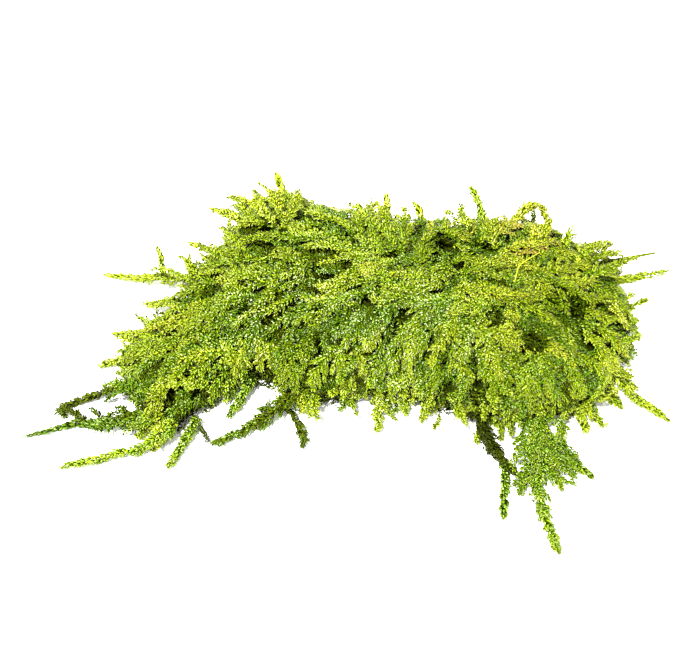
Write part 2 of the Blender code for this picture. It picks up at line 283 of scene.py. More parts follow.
def stemTubes(paths, faces, radius, sides, tint):
    # a ring of the given number of sides at each path point, cos times side plus sin times face, narrowing evenly
    # to tipShare and thin where it crosses a gap, with both ends closed
    forward, side, face = frameAlong(paths, faces)
    count, size = paths.shape[:2]
    turn = np.linspace(0, 2 * np.pi, sides, endpoint=False)
    narrow = np.linspace(1.0, stem["tipShare"], size)[None, :, None, None]
    ring = np.cos(turn)[:, None] * side[:, :, None] + np.sin(turn)[:, None] * face[:, :, None]
    thin = 1 - stem["gapThinning"] * gapShare(paths[..., 0], paths[..., 1]) ** 0.5
    points = paths[:, :, None] + ring * radius * narrow * thin[:, :, None, None]
    i, j = np.meshgrid(np.arange(size - 1), np.arange(sides), indexing="ij")
    a, b = i * sides + j, i * sides + (j + 1) % sides
    walls = np.stack([np.stack([a, b, b + sides], -1), np.stack([a, b + sides, a + sides], -1)], 2).reshape(-1, 3)
    fan = np.stack([np.zeros(sides - 2, int), np.arange(1, sides - 1), np.arange(2, sides)], -1)
    last = (size - 1) * sides
    one = np.concatenate([walls, fan[:, ::-1], fan + last])
    corners = np.arange(count)[:, None, None] * size * sides + one
    u = np.broadcast_to(tint.reshape(-1, 1, 1), (count, len(one), 3))
    along = (one // sides) / (size - 1)
    # along each stem the painted shade ramp runs a short way: darker at its start, lighter towards its end
    uv = np.stack([u + 0.004 * ((one % sides) - 1), np.broadcast_to(along * stem["shading"], u.shape)], -1)
    return points, corners, uv


# How the moss grows: directions, colours and gaps over the mat

growth = {
    "guides": [  # x and y in mm over the mat, and the way shoots point there, in degrees
        (-41, 1, 200), (-38, -12, 226), (-25, 3, 203), (-30, 14, 165), (-22, 30, 112), (-6, 28, 125),
        (6, 27, 96), (20, 26, 92), (32, 26, 70), (42, 18, 24), (47, 9, 6), (47, 0, -22), (42, -7, -52),
        (33, -11, -82), (16, -10, -76), (2, -6, -108), (-10, -7, -98), (-20, -4, -125), (-8, 10, 186),
        (10, 8, 196), (13, 1, 212), (22, 12, 12), (26, 2, -14), (16, 20, 40), (-14, 18, 160),
    ],
    "wander": 0.45,  # how far a frond strays from the guides, in radians
    "soften": 4.0,  # square mm that keep a guide from ruling alone close by
    "place": 0.56,  # where fresh growth lies in the palette
}
patches = {  # x, y, reach in mm, and below how far each kind moves the place in the palette
    "golden": [(30.5, 24.5, 4.5), (28.6, 15.2, 4), (34.9, 13, 2.6), (25.6, -2.1, 1.8), (24.8, 0.8, 1.8),
               (1.9, 11.8, 2.4), (4.5, -4.6, 1.4), (5.4, -6.6, 1.2)],
    "deep": [(34.2, -11, 4.5), (30.7, -12.1, 4), (-8.8, -2, 2.5), (-23.5, 6.4, 3), (4.7, 15.8, 3), (27, -12, 5.5),
             (-3, 1, 4.5), (-35, -4, 4.5), (2, 9, 4.5), (38.5, 9, 4), (4.5, -4.5, 4)],
    # patches of darker olive leaves whose tips carry a painted glint of wet leaves
    "frosted": [(-18.9, 6.3, 5), (-16.1, 1, 5), (-1.7, -1.4, 5.5), (7.2, -7.6, 4.5), (20.2, -5.3, 4),
                (-17, -2.4, 4), (-11, 8, 6.5), (11, 2, 6), (1, 3, 4), (4, -3.5, 4.5)],
    "bright": [(33, 19, 6), (46, 11, 7), (40, -6, 5), (-36, 6, 5), (-14, 27, 5), (-24, 10, 4.5), (19, -9.5, 4)],
}
patchShift = {"golden": 0.26, "deep": -0.09, "frosted": -0.08, "bright": 0.05}
gaps = [  # x, y, half length, half width in mm, and how they are turned, in degrees
    (16.8, 18.2, 3.8, 2.4, -12), (22, 13.9, 3.6, 1.5, 4), (30.6, -5, 3.2, 2.4, -20), (39.6, 4.6, 2, 3, 0),
    (15.5, -10.6, 1.8, 1.5, 0), (-20.7, 4.1, 2, 0.8, 30), (-7.1, 2.3, 1.6, 0.8, 20), (-7.4, -2.8, 0.7, 0.9, 0),
    (-4.4, 10.8, 2.4, 0.6, 8), (-16.9, 24.5, 2.6, 1, -10), (-13.9, 21.6, 1.2, 0.9, 0), (34.8, 4.7, 1.7, 0.6, -15),
    (36.3, 7.2, 2.4, 0.6, -5), (-17.9, -5.8, 3.2, 3, 0), (-21.9, -9, 2.6, 2, 50), (-25.6, -11.4, 2, 1.6, 60),
]
gapRim = {"past": 0.6, "ragged": (0.5, 1.1)}  # mm that a gap is felt past its edge, and how its edge frays
hidden = {"depth": 2.3 * mm, "height": 6 * mm, "inside": 0.95}  # leaves this far under a mat this high are left out


def heading(x, y):
    # guides weighted by one over the fourth power of their distance
    guide = np.array(growth["guides"], float)
    gap = ((x[:, None] / mm - guide[:, 0]) ** 2 + (y[:, None] / mm - guide[:, 1]) ** 2 + growth["soften"])
    weight = gap**-2
    angle = np.radians(guide[:, 2])
    return np.arctan2((weight * np.sin(angle)).sum(1), (weight * np.cos(angle)).sum(1))


def patchShare(kind, x, y):
    # one at the middle of the nearest patch of the kind, falling off as a bell curve with its reach
    spots = np.array(patches[kind], float) * mm
    return np.exp(-((x[..., None] - spots[:, 0]) ** 2 + (y[..., None] - spots[:, 1]) ** 2) / spots[:, 2] ** 2).max(-1)


def acrossGap(gap, x, y, past=0.0):
    # how far along and across the turned gap the points lie, as shares of its half length and half width
    cx, cy, a, b, turn = gap
    c, s = math.cos(math.radians(turn)), math.sin(math.radians(turn))
    dx, dy = x / mm - cx, y / mm - cy
    return (dx * c + dy * s) / (a + past), (dy * c - dx * s) / (b + past)


def gapShare(x, y):
    # one in the middle of a gap, falling off as a bell curve a little past its edge
    share = np.zeros(np.shape(x))
    for gap in gaps:
        along, across = acrossGap(gap, x, y, gapRim["past"])
        share = np.maximum(share, np.exp(-along**2 - across**2))
    return share


def openSpot(points, rng):
    # keeps what lies outside the gaps; the edge of a gap is ragged
    keep = np.ones(len(points), bool)
    for gap in gaps:
        along, across = acrossGap(gap, points[:, 0], points[:, 1])
        keep &= along**2 + across**2 > rng.uniform(*gapRim["ragged"], len(points))
    return keep


def topLeaf(points, rng):
    # also drops what is buried too deep under the top to be seen from anywhere
    x, y = points[:, 0], points[:, 1]
    height = sample("height", x, y)
    buried = (height - points[:, 2] > hidden["depth"]) & (height > hidden["height"])
    buried &= sample("inside", x, y) > hidden["inside"]
    return openSpot(points, rng) & ~buried


def overMat(points, rng):
    # keeps what lies a little inside the rim
    return sample("inside", points[:, 0], points[:, 1]) > 0.6


def insideOnly(points, rng):
    # keeps what lies inside the rim and outside the gaps
    return openSpot(points, rng) & overMat(points, rng)


def palettePlace(x, y, depth, rng, spread):
    # the place in the palette: fresh growth in the middle of it, old shoots low, golden ones high; depth moves it
    # down, so that fronds lower in the mat get a painted shade
    base = growth["place"] + rng.normal(0, spread, x.shape)
    base = base + sum(shift * patchShare(kind, x, y) for kind, shift in patchShift.items())
    return np.clip(base - depth, 0.03, 0.97)


# The mat's fronds

walk = {"lowest": 0.9 * mm, "faceUp": 0.35, "points": 14}
branching = {"points": 6, "jitter": (0.2, 0.8), "size": (0.6, 1.2), "widest": 0.3, "missing": 0.1, "last": 0.97,
             "offset": 0.25, "turn": 0.16, "tilt": (0.08, 0.22), "forwardBend": (0.1, 0.4),
             "faceBend": (-0.05, 0.16), "faceSpread": 0.22, "overMat": 0.8 * mm, "lowest": 0.7 * mm}


def wrap(a):
    # the same angle between minus half a turn and half a turn
    return (a + np.pi) % (2 * np.pi) - np.pi


def marchPaths(x, y, angle, length, sink, lift, curl, steps, drop=0.9):
    # each path walks over the mat's top in equal strides: its angle turns by its curl and towards the heading, and
    # it rises by lift times the square of how far it has come; it can't fall faster than drop, so it juts past an edge
    stride = length / (steps - 1)
    z = sample("height", x, y) - sink
    line, faces = [np.stack([x, y, z], -1)], [matNormal(x, y)]
    for k in range(1, steps):
        angle = angle + curl / steps + wrap(heading(x, y) - angle) / steps
        c, s = np.cos(angle), np.sin(angle)
        slope = np.clip(sample("gx", x, y) * c + sample("gy", x, y) * s, -ground["steepest"], ground["steepest"])
        flat = stride / np.sqrt(1 + slope**2)
        x, y = x + c * flat, y + s * flat
        t = k / (steps - 1)
        target = sample("height", x, y) - sink + lift * t**2
        z = np.maximum(np.maximum(target, z - drop * stride), walk["lowest"])
        line.append(np.stack([x, y, z], -1))
        faces.append(matNormal(x, y))
    return np.stack(line, 1), unit(np.stack(faces, 1) + up * walk["faceUp"])


def branchPaths(paths, faces, longest, kind, rng):
    # side branches in one plane on both sides of a frond: longest a third of the way up, shorter to the tip,
    # bending forward as a parabola
    forward, side, face = frameAlong(paths, faces)
    total = np.linalg.norm(np.diff(paths, axis=1), axis=2).sum(1)
    every = kind["branchEvery"]
    pairs = max(2, int(np.ceil(total.max() / every)))
    t = (np.arange(pairs)[None] + rng.uniform(*branching["jitter"], (len(paths), pairs))) * every / total[:, None]
    frond, which = np.nonzero((t > kind["first"]) & (t < branching["last"]))
    frond, t = np.repeat(frond, 2), np.repeat(t[frond, which], 2)
    hand = np.tile([1.0, -1.0], len(t) // 2)
    t = np.clip(t + hand * branching["offset"] * every / total[frond], 0, 0.98)
    steps = paths.shape[1] - 1
    i = np.clip((t * steps).astype(int), 0, steps - 1)
    s = (t * steps - i)[:, None]
    start = mix(paths[frond, i], paths[frond, i + 1], s)
    f, d, n = (v[frond, i] for v in (forward, side, face))
    widest = branching["widest"]
    shape = np.where(t < widest, 0.65 + 0.35 * t / widest, 1.0 - 0.78 * (t - widest) / (1 - widest))
    size = longest[frond] * shape * rng.uniform(*branching["size"], len(t))
    alive = rng.uniform(0, 1, len(t)) > branching["missing"]
    angle = np.radians(kind["splay"]) * (1 - 0.25 * t) + rng.normal(0, branching["turn"], len(t))
    tilt = rng.normal(*branching["tilt"], len(t))
    go = unit(np.cos(angle)[:, None] * f + (np.sin(angle) * hand)[:, None] * d + tilt[:, None] * n)
    u = np.linspace(0, 1, branching["points"])[None, :, None]
    each = (len(t), 1)
    bend = (f * rng.uniform(*branching["forwardBend"], each) + n * rng.normal(*branching["faceBend"], each))[:, None]
    line = start[:, None] + size[:, None, None] * (go[:, None] * u + bend * u**2)
    x, y = line[..., 0], line[..., 1]
    under = np.maximum(sample("height", x, y), branching["overMat"])
    line[..., 2] = mix(line[..., 2], under, kind["cling"] * sample("inside", x, y) * u[..., 0])
    line[..., 2] = np.maximum(line[..., 2], branching["lowest"])
    faces = unit(n[:, None] + rng.normal(0, branching["faceSpread"], (len(t), 1, 3)) + 0 * line)
    return line[alive], faces[alive], frond[alive], t[alive]


def frondParts(paths, faces, tint, longest, kind, rng, keep=None):
    # the fronds' branches, fresher the nearer they are to the tip; then the leaves of both and the stems of both,
    # through every other path point
    side, sideFaces, frond, t = branchPaths(paths, faces, longest, kind, rng)
    sideTint = tint[frond] + kind["tipTint"] * (t - kind["evenAt"])
    return [
        leafBodies(paths, faces, leafKinds["stemLeaf"], tint, rng, keep),
        leafBodies(side, sideFaces, leafKinds["branchLeaf"], sideTint, rng, keep),
        stemTubes(paths[:, ::2], faces[:, ::2], kind["radius"], 4, tint * kind["stemTone"]),
        stemTubes(side[:, ::2], sideFaces[:, ::2], stem["sideRadius"], 3, tint[frond] * stem["sideTone"]),
    ]


frondBeds = {  # each bed is one piece; x limits in mm, fronds per square mm, length and branch length in mm
    "matLeft": {"x": (-52, -22), "density": 0.085, "length": (9, 18), "branch": (1.3, 2.8), "seed": 21},
    "matLeftMiddle": {"x": (-22, -6), "density": 0.085, "length": (7, 15), "branch": (1.4, 2.8), "seed": 22},
    "matMiddle": {"x": (-6, 10), "density": 0.085, "length": (7, 15), "branch": (1.5, 3.2), "seed": 23},
    "matRightMiddle": {"x": (10, 27), "density": 0.075, "length": (8, 16), "branch": (2.0, 4.0), "seed": 24},
    "matRight": {"x": (27, 54), "density": 0.075, "length": (9, 18), "branch": (2.2, 4.2), "seed": 25},
}
# depth darkens the colour of the lower fronds: painted shade under the upper ones
everyBed = {"upper": 0.5, "shift": 0.45, "depth": 0.22, "tintSpread": 0.065, "branchEvery": 1.3 * mm, "splay": 54,
            "cling": 0.3, "first": 0.12, "tipTint": 0.12, "evenAt": 0.4, "branchShare": 0.3, "radius": 0.14 * mm,
            "stemTone": 0.6, "shortest": 3.5 * mm}
fillers = {"share": 0.45, "length": (5, 9), "upper": 0.4, "wander": 1.2, "shift": 0.5}
frondLie = {"upperSink": (-0.7, 0.5), "lowerSink": (0.9, 2.0), "lift": (-0.5, 1.6), "curl": 0.5, "drop": 0.5,
            "overhang": (-0.5, 2.2)}  # in mm, but the curl is in radians and the drop is a slope


def sprout(limits, density, rng):
    # starting places spread evenly over the mat's own surface, with more to a square where it is steep
    xs, ys = mat["x"], mat["y"]
    gx, gy = (np.clip(mat[k], -ground["steepest"], ground["steepest"]) for k in ("gx", "gy"))
    area = np.sqrt(1 + gx**2 + gy**2) * (mat["inside"] > 0.5)
    area = area * (xs > limits[0] * mm) * (xs < limits[1] * mm)
    count = int(density * area.sum() * (ground["step"] / mm) ** 2)
    chosen = rng.choice(area.size, count, p=(area / area.sum()).ravel())
    jitter = rng.uniform(-0.5, 0.5, (2, count)) * ground["step"]
    return xs.ravel()[chosen] + jitter[0], ys.ravel()[chosen] + jitter[1]


def sow(x, y, bed, wander, shift, rng):
    # a frond for each place: it follows the heading, its middle at the place where it can be, cut short past the rim
    count = len(x)
    length = rng.uniform(*bed["length"], count) * mm
    angle = heading(x, y) + rng.normal(0, wander, count)
    backX, backY = x - np.cos(angle) * length * shift, y - np.sin(angle) * length * shift
    within = sample("inside", backX, backY) > 0.5
    x, y = np.where(within, backX, x), np.where(within, backY, y)
    upper = rng.uniform(0, 1, count) < bed["upper"]
    upperSink, lowerSink = rng.uniform(*frondLie["upperSink"], count), rng.uniform(*frondLie["lowerSink"], count)
    sink = np.where(upper, upperSink, lowerSink) * mm
    lift = rng.uniform(*frondLie["lift"], count) * mm
    curl = rng.normal(0, frondLie["curl"], count)
    points = walk["points"]
    trial, _ = marchPaths(x, y, angle, length, sink, lift, curl, points, drop=frondLie["drop"])
    outside = sample("inside", trial[..., 0], trial[..., 1]) < 0.5
    share = np.where(outside.any(1), outside.argmax(1), points) / (points - 1)
    length = np.minimum(length, share * length + rng.uniform(*frondLie["overhang"], count) * mm)
    kept = length > everyBed["shortest"]
    x, y, angle, length, sink, lift, curl, upper = (v[kept] for v in (x, y, angle, length, sink, lift, curl, upper))
    paths, faces = marchPaths(x, y, angle, length, sink, lift, curl, points, drop=frondLie["drop"])
    return paths, faces, length, upper


def bareSpots(paths, limits, count, rng):
    # places that no path comes near: the paths are counted square by square and blurred, and the chance of a place
    # falls off exponentially with the count
    xs, ys = mat["x"], mat["y"]
    seen = np.zeros(xs.shape)
    i = np.clip(np.round((paths[..., 0] - xs[0, 0]) / ground["step"]).astype(int), 0, xs.shape[0] - 1)
    j = np.clip(np.round((paths[..., 1] - ys[0, 0]) / ground["step"]).astype(int), 0, xs.shape[1] - 1)
    np.add.at(seen, (i.ravel(), j.ravel()), 1.0)
    for _ in range(4):
        seen = (sum(neighbours(seen)) + 2 * seen) / 6
    want = np.exp(-seen / 0.12) * (mat["inside"] > 0.5) * (xs > limits[0] * mm) * (xs < limits[1] * mm)
    chosen = rng.choice(want.size, count, p=(want / want.sum()).ravel())
    return xs.ravel()[chosen], ys.ravel()[chosen]


def frondBed(bed, rng, material, name):
    # most fronds are spread evenly, and the rest are shorter and fill what is left bare
    bed = dict(everyBed, **bed)
    x, y = sprout(bed["x"], bed["density"], rng)
    paths, faces, length, upper = sow(x, y, bed, growth["wander"], bed["shift"], rng)
    bare = bareSpots(paths, bed["x"], int(fillers["share"] * len(x)), rng)
    more = sow(*bare, fillers, fillers["wander"], fillers["shift"], rng)
    paths, faces, length, upper = (np.concatenate(v) for v in zip((paths, faces, length, upper), more))
    middle = paths[:, walk["points"] // 2]
    # the lower fronds are painted darker: painted shade under the upper fronds
    tint = palettePlace(middle[:, 0], middle[:, 1], np.where(upper, -0.01, bed["depth"]), rng, bed["tintSpread"])
    longest = np.minimum(rng.uniform(*bed["branch"], len(length)) * mm, bed["branchShare"] * length)
    parts = frondParts(paths, faces, tint, longest, bed, rng, topLeaf)
    meshPiece(name, parts, "moss_mat", material)


fringe = {"count": 270, "density": 0.9, "length": (3.5, 6.8), "branch": (0.8, 1.8), "pitch": (-18, 20), "hang": 0.75,
          "reach": (2.4, 5.5), "depth": 1.6 * mm, "stray": 0.35, "shorter": 0.45, "branchEvery": 1.2 * mm, "splay": 52,
          "cling": 0, "first": 0.12, "tipTint": 0.05, "evenAt": 0, "radius": 0.13 * mm, "stemTone": 0.7, "seed": 41,
          # x, y and reach in mm of the places where the fringe is shorter: bare ones end at an edge, short ones fade
          "bare": [(51.5, 4.5, 6), (52, 11, 4)],
          "short": [(27, 27, 5), (54, 2, 9), (40, -17, 4), (-44, -12, 5), (-46, 1, 4), (14, 28, 5)]}


def rimFringe(material):
    # short fronds that come out of the mat's side at any height and run straight outwards past its rim
    rng = np.random.default_rng(fringe["seed"])
    x, y = sprout((-60, 60), fringe["density"], rng)
    angle = heading(x, y) + rng.normal(0, fringe["stray"], len(x))
    reach, depth = rng.uniform(*fringe["reach"], len(x)) * mm, fringe["depth"]
    nearRim = sample("inside", x + np.cos(angle) * reach, y + np.sin(angle) * reach) < 0.4
    nearRim &= sample("inside", x + np.cos(angle) * depth, y + np.sin(angle) * depth) > 0.6
    x, y, angle = (v[nearRim][:fringe["count"]] for v in (x, y, angle))
    count = len(x)
    pitch = np.radians(rng.uniform(*fringe["pitch"], count))
    pitch -= np.where(np.sin(angle) < -0.3, rng.uniform(0, fringe["hang"], count), 0)  # those in front hang down
    spots = np.array(fringe["short"]) * mm
    near = np.exp(-((x[:, None] - spots[:, 0]) ** 2 + (y[:, None] - spots[:, 1]) ** 2) / spots[:, 2] ** 2).max(1)
    bare = np.array(fringe["bare"]) * mm
    bare = ((x[:, None] - bare[:, 0]) ** 2 + (y[:, None] - bare[:, 1]) ** 2 < bare[:, 2] ** 2).any(1)
    shorter = fringe["shorter"]
    length = rng.uniform(*fringe["length"], count) * mm * (1 - shorter * near) * np.where(bare, shorter, 1.0)
    z = np.maximum(sample("height", x, y) * rng.uniform(0.15, 0.98, count), 1.2 * mm)
    u = np.linspace(0, 1, 10)[None]
    turn = angle[:, None] + rng.normal(0, fringe["stray"], (count, 1)) * u
    along = length[:, None] * u
    rise = along * np.sin(pitch)[:, None] + rng.normal(0.0, 0.12, (count, 1)) * along * u
    paths = np.stack([x[:, None] + along * np.cos(turn), y[:, None] + along * np.sin(turn), z[:, None] + rise], -1)
    paths[..., 2] = np.maximum(paths[..., 2], walk["lowest"])
    faces = unit(up * 0.8 + matNormal(x, y)[:, None] + rng.normal(0, 0.3, (count, 1, 3)) + 0 * paths)
    tint = palettePlace(x, y, -0.01, rng, 0.06)
    longest = rng.uniform(*fringe["branch"], count) * mm
    parts = frondParts(paths, faces, tint, longest, fringe, rng, openSpot)
    meshPiece("rimFringe", parts, "moss_mat", material)


placedFronds = {  # start and end in mm, then the branches' length and the place in the palette
    "upperLeftTufts": [
        (-13.9, 23.7, 15, -11, 30.2, 17, 1.8, 0.66), (-15.8, 22.6, 15, -20.7, 32, 15, 1.8, 0.64),
        (-14.4, 24.7, 15, -17.3, 30.8, 17, 1.6, 0.68), (-18.3, 23.6, 14, -24.7, 33.6, 11, 1.4, 0.62),
        (-21.4, 18, 12, -27.1, 28.5, 9, 1.5, 0.58), (-22.3, 17.1, 11, -32.4, 26, 6, 1.3, 0.58),
        (-26.8, 13, 10, -33.5, 19.9, 8, 1.4, 0.56), (-30.8, 14, 8, -40.4, 20.2, 6, 1.3, 0.60),
        (-32, 5.8, 8, -39.2, 10.8, 6, 1.4, 0.62), (-34.4, 0.2, 7, -43, 5.4, 4, 1.4, 0.60),
    ],
    "backTufts": [
        (5.4, 22.1, 15, 3.4, 27.2, 17, 1.2, 0.62), (8.1, 22.1, 15, 8.5, 25.6, 17, 1.2, 0.60),
        (2.1, 23.6, 14, -1.7, 28.7, 15, 1.3, 0.58), (18.2, 24.1, 14, 16.6, 25.8, 16, 1.2, 0.64),
        (20.8, 21.6, 15, 19.4, 25, 16, 1.2, 0.60), (32, 15.5, 16, 32.6, 20.6, 17.5, 1.2, 0.74),
        (34.4, 16.4, 15, 35.3, 22.7, 17, 1.4, 0.68), (38.3, 17.4, 14, 40, 22.6, 15, 1.3, 0.60),
        (41.1, 16.3, 13, 46.6, 21.1, 12, 1.5, 0.62), (42.7, 12.9, 12, 53.3, 19.5, 9, 1.3, 0.56),
        (42, 15.4, 12, 49.8, 20.1, 10, 1.4, 0.60),
    ],
    "middleTufts": [
        (24.6, 3.4, 16, 16.4, 2.2, 15.8, 2.2, 0.57), (23.6, 1.4, 15.8, 15.6, 0.4, 15.4, 2.2, 0.56),
        (25, 5.2, 16.2, 17.2, 4.8, 16.2, 2.2, 0.58), (21.6, 2.6, 15.9, 14.2, 3.6, 15.9, 1.8, 0.55),
        (22.4, -0.6, 15.4, 17.2, 1.6, 15.8, 1.8, 0.58),
        (6.6, 13.6, 15.4, -1.2, 11.6, 15, 2.2, 0.60), (7, 11.8, 15.4, 0.4, 9.8, 15, 2, 0.74),
        (5.6, 15.2, 15.2, -1, 13.6, 15.2, 2, 0.56), (4.4, 10.2, 15.2, -2.8, 9.4, 14.8, 1.8, 0.62),
        (3.6, 12.6, 15.6, 0.6, 10.8, 15.6, 1.2, 0.86),
    ],
    "frontTufts": [
        (-3.6, -5.4, 9, -3.1, -8.6, 3.8, 2, 0.64), (-1.4, -5.2, 8.8, -1.2, -8.5, 3.9, 2, 0.67),
        (0.8, -5.2, 8.8, 1.2, -8.7, 3.8, 2, 0.60), (3, -5.3, 8.8, 3.4, -9.2, 3.4, 2, 0.55),
        (5.2, -5.4, 8.8, 5.6, -9.2, 3.4, 2, 0.53), (7.4, -5.6, 9, 7.7, -9.3, 3.4, 2, 0.56),
        (9.6, -5.8, 9, 9.9, -9.6, 3.4, 2, 0.63), (11.6, -6, 9.2, 11.8, -10, 3.2, 1.8, 0.64),
        (0.2, -3.2, 11, 0.6, -7.2, 8.2, 1.8, 0.62),
        (-20.6, -1.2, 10.4, -19.8, -4.9, 6.4, 2, 0.61), (-18.2, -0.8, 10.6, -17.5, -4.7, 6.2, 2, 0.60),
        (-15.8, -1.4, 10.2, -15.7, -5, 6, 1.8, 0.58), (-23, -2.6, 9.6, -22.2, -6, 5.8, 2, 0.61),
        (30.2, -9.6, 8.6, 29.8, -14.8, 4.2, 2.2, 0.50), (32, -9.4, 8.8, 31.8, -15, 4.4, 2.2, 0.55),
        (33.8, -9.4, 8.8, 34, -14.6, 4, 2.2, 0.51), (35.6, -9.2, 8.6, 36.2, -13.8, 3.6, 2, 0.54),
    ],
    "leftTufts": [
        (-34.6, -9.4, 5, -39.5, -7.4, 3.5, 1.8, 0.49), (-37, -8.2, 4, -47.4, -4.9, 1.8, 2, 0.43),
        (-38, -9.6, 3, -46.4, -7.4, 1.6, 1.6, 0.35), (-39, -12.6, 2, -48.5, -13.5, 1.2, 1.7, 0.27),
        (-41, -13, 2, -43.6, -10.4, 3, 0.9, 0.25), (-46, -13.6, 1.8, -47.9, -10.6, 2.6, 0.8, 0.25),
        (-36, -13.6, 3, -42, -15.6, 1.4, 1.6, 0.47), (-49, -12.9, 1.4, -54.6, -9.9, 1.2, 0.7, 0.25),
    ],
    "legTufts": [
        (32.3, -17.6, 3.5, 36.4, -25.4, 1.6, 2.2, 0.42), (33.4, -17.6, 3, 38.6, -23.4, 1.6, 2, 0.40),
        (31.2, -22.6, 2.5, 36.9, -26.9, 1.4, 1.8, 0.42), (33.8, -20.4, 2.2, 37.4, -24.8, 1.3, 1.8, 0.34),
        (30.2, -23.2, 2.4, 26.5, -26.4, 1.3, 1.4, 0.42), (30.4, -24.6, 2.2, 27.3, -27.4, 1.2, 1.2, 0.38),
        (31, -21, 2.2, 30.4, -28.4, 1.4, 2.4, 0.36),
        (29.5, -14.8, 5.5, 26.7, -23.4, 2.6, 2.6, 0.44), (30.8, -16.7, 4.5, 27.4, -27.7, 1.8, 2.2, 0.42),
        (32.2, -18.7, 4, 37.7, -24, 1.9, 1.4, 0.42), (32.6, -24.2, 3, 34.8, -28, 1.9, 1.2, 0.48),
        (31.8, -15.6, 6, 30, -23.6, 2.6, 2.6, 0.50), (34.7, -14.8, 5.5, 35.8, -19.9, 2.8, 2, 0.48),
    ],
}
setShape = {"rise": 0.10, "sway": 0.06, "branchEvery": 1.0 * mm, "splay": 52, "cling": 0.0, "first": 0.02,
            "tipTint": 0.05, "evenAt": 0, "radius": 0.15 * mm, "stemTone": 0.7, "seed": 70}


def frondSet(name, rows, material):
    # each frond runs from its start to its end, raised in its middle by a sine and swayed by another, and carries
    # branches on both sides
    rows = np.array(rows)
    rng = np.random.default_rng(len(rows) + setShape["seed"])
    u = np.linspace(0, 1, walk["points"])[None, :, None]
    start, end = rows[:, None, 0:3] * mm, rows[:, None, 3:6] * mm
    span = np.linalg.norm(end - start, axis=-1, keepdims=True)
    sway = rng.normal(0, setShape["sway"], (len(rows), 1, 3)) * span * np.sin(u * np.pi * 1.3)
    paths = mix(start, end, u) + up * span * setShape["rise"] * np.sin(np.pi * u) + sway
    paths[..., 2] = np.maximum(paths[..., 2], walk["lowest"])
    faces = unit(up + rng.normal(0, 0.25, (len(rows), 1, 3)) + 0 * paths)
    parts = frondParts(paths, faces, rows[:, 7], rows[:, 6] * mm, setShape, rng)
    meshPiece(name, parts, "moss_mat", material)


stalks = {  # bare stalks that stand out of the fronds; points in mm, then the radius in mm and the palette place
    "bentStalk": ([(27.6, 6.2, 16.4), (28.1, 7.6, 17.5), (28.4, 8.8, 18.2), (28.9, 9.6, 18.5), (32.6, 12.1, 19.0)],
                  0.14, 0.80),
    "leftStalk": ([(1.6, 24.6, 13.8), (0.9, 26.0, 15.0), (-0.6, 27.7, 16.2), (-2.2, 28.6, 17.0)], 0.15, 0.55),
    "backStalk": ([(20.6, 24.6, 13.8), (19.5, 25.9, 15.0), (18.2, 26.9, 16.4), (16.8, 28.0, 17.5)], 0.13, 0.55),
}


def bareStalk(name, points, radius, tint, material):
    # a tube through the points, rounded three times by the mean of each point, twice over, and its two neighbours
    line, _ = evenLine(np.array(points) * mm, np.full(len(points), radius * mm), 0.3 * mm)
    for _ in range(3):
        line[1:-1] = (line[:-2] + 2 * line[1:-1] + line[2:]) / 4
    faces = unit(np.broadcast_to(up, line.shape) + np.array([0.2, 0.1, 0.0]))[None]
    parts = [stemTubes(line[None], faces, radius * mm, 6, np.array([tint]))]
    meshPiece(name, parts, "moss_mat", material)


# The inside: a lumpy dark body a little under the leaves, painted shade where the mat is deep, and old shoots and
# leaves lying on it

# the dark body's shape; its tone is a near black place in the palette, a painted shade
shadeBodyShape = {"sink": 3.0 * mm, "rough": 1.0 * mm, "inset": 1.5 * mm, "deeper": 5.0 * mm, "under": 0.5 * mm,
          "least": 1.0 * mm, "tone": (0.008, 0.04), "seed": 5}


def innerTangle(material):
    # the mat's top sunk by a fixed depth and roughened, drawn in from the rim and closed by a flat underside; its near
    # black colour is painted shade
    rng = np.random.default_rng(shadeBodyShape["seed"])
    inside = mat["inside"].copy()
    for _ in range(int(shadeBodyShape["inset"] / ground["step"])):
        inside = np.minimum.reduce([inside, *neighbours(inside)])
    inside = inside > 0.5
    xs, ys = mat["x"], mat["y"]
    top = mat["height"] - shadeBodyShape["sink"] + rng.normal(0, shadeBodyShape["rough"] * 0.6, xs.shape)
    top -= shadeBodyShape["deeper"] * gapShare(xs, ys)
    low = np.full_like(top, shadeBodyShape["under"])
    top = np.maximum(top, shadeBodyShape["least"])
    cell = inside[:-1, :-1] & inside[1:, :-1] & inside[:-1, 1:] & inside[1:, 1:]
    number = np.arange(xs.size).reshape(xs.shape)
    a, b, c, d = number[:-1, :-1][cell], number[1:, :-1][cell], number[1:, 1:][cell], number[:-1, 1:][cell]
    upper = np.concatenate([np.stack([a, b, c], -1), np.stack([a, c, d], -1)])
    lower = upper[:, ::-1] + xs.size
    edges = np.concatenate([upper[:, [0, 1]], upper[:, [1, 2]], upper[:, [2, 0]]])
    key = edges[:, 0] * (2 * xs.size) + edges[:, 1]
    back = edges[:, 1] * (2 * xs.size) + edges[:, 0]
    rim = edges[~np.isin(key, back)]
    walls = np.concatenate([np.stack([rim[:, 1], rim[:, 0], rim[:, 0] + xs.size], -1),
                            np.stack([rim[:, 1], rim[:, 0] + xs.size, rim[:, 1] + xs.size], -1)])
    points = np.concatenate([np.stack([xs, ys, top], -1).reshape(-1, 3), np.stack([xs, ys, low], -1).reshape(-1, 3)])
    faces = np.concatenate([upper, lower, walls])
    used, faces = np.unique(faces, return_inverse=True)
    points, faces = points[used], faces.reshape(-1, 3)
    # the body's colour is painted shade: near black places in the palette, at the dark base of the leaf shade ramp
    tone = rng.uniform(*shadeBodyShape["tone"], len(points))
    corner = np.stack([tone[faces], np.broadcast_to(np.array([0.0, 0.1, 0.05]), faces.shape)], -1)
    meshPiece("innerTangle", [(points, faces, corner)], "moss_mat", material)


